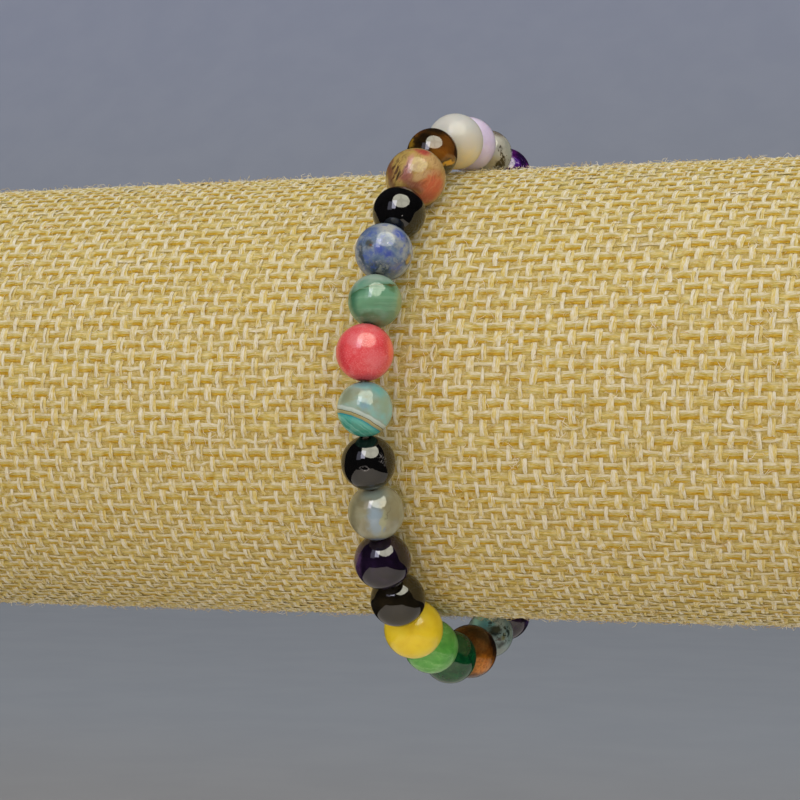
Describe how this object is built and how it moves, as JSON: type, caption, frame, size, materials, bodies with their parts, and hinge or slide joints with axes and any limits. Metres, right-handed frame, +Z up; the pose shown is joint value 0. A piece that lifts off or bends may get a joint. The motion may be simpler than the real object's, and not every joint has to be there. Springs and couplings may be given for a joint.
{
  "type": "beaded stretch bracelet on a burlap-covered display roll",
  "caption": "Stretch bracelet of round polished stone beads in mixed colours, strung on an elastic cord and hanging on a burlap-covered display roll.",
  "frame": {"origin": "middle of the display roll, on its axis", "axes": "+X along the roll, +Y away from the viewer, +Z up"},
  "size_m": [0.14, 0.0664, 0.0657],
  "materials": {
    "amethyst": "polished translucent purple stone with cloudy white flecks",
    "dendritic_agate": "polished translucent grey-white stone with dark mossy spots",
    "lilac_jade": "waxy polished lilac stone",
    "white_jade": "waxy polished cream-white stone",
    "tiger_eye": "polished brown stone with golden silky bands",
    "jasper": "polished stone in olive, brown and salmon patches",
    "onyx": "glossy black stone",
    "sodalite": "polished mottled blue stone with grey clouds and brown inclusions",
    "green_agate": "polished translucent sea-green banded stone",
    "red_jade": "satin red stone with pink clouds",
    "teal_agate": "polished translucent teal stone with a white and tan band",
    "grey_agate": "polished translucent grey-green stone with blue clouds",
    "dark_amethyst": "polished near-black violet stone",
    "smoky_quartz": "polished near-black brown stone",
    "yellow_jade": "waxy polished yellow stone",
    "green_jade": "polished bright green stone",
    "dark_green_jade": "polished deep green stone",
    "burlap": "straw-yellow plain-woven burlap",
    "elastic": "clear to milky stretch cord"
  },
  "bodies": {
    "root": {"bead_01_amethyst": "amethyst", "bead_02_dendritic_agate": "dendritic_agate", "bead_03_lilac_jade": "lilac_jade", "bead_04_white_jade": "white_jade", "bead_05_tiger_eye": "tiger_eye", "bead_06_jasper": "jasper", "bead_07_onyx": "onyx", "bead_08_sodalite": "sodalite", "bead_09_green_agate": "green_agate", "bead_10_red_jade": "red_jade", "bead_11_teal_agate": "teal_agate", "bead_12_onyx": "onyx", "bead_13_grey_agate": "grey_agate", "bead_14_dark_amethyst": "dark_amethyst", "bead_15_smoky_quartz": "smoky_quartz", "bead_16_yellow_jade": "yellow_jade", "bead_17_green_jade": "green_jade", "bead_18_dark_green_jade": "dark_green_jade", "bead_19_tiger_eye": "tiger_eye", "bead_20_dendritic_agate": "dendritic_agate", "bead_21_amethyst": "amethyst", "bead_22_white_jade": "white_jade", "bead_23_sodalite": "sodalite", "bead_24_onyx": "onyx", "bead_25_yellow_jade": "yellow_jade", "bead_26_red_jade": "red_jade", "bead_27_green_agate": "green_agate", "bead_28_jasper": "jasper", "bead_29_grey_agate": "grey_agate", "bead_30_lilac_jade": "lilac_jade", "bead_31_onyx": "onyx", "display_roll": "burlap", "elastic_cord": "elastic"}
  },
  "joints": []
}
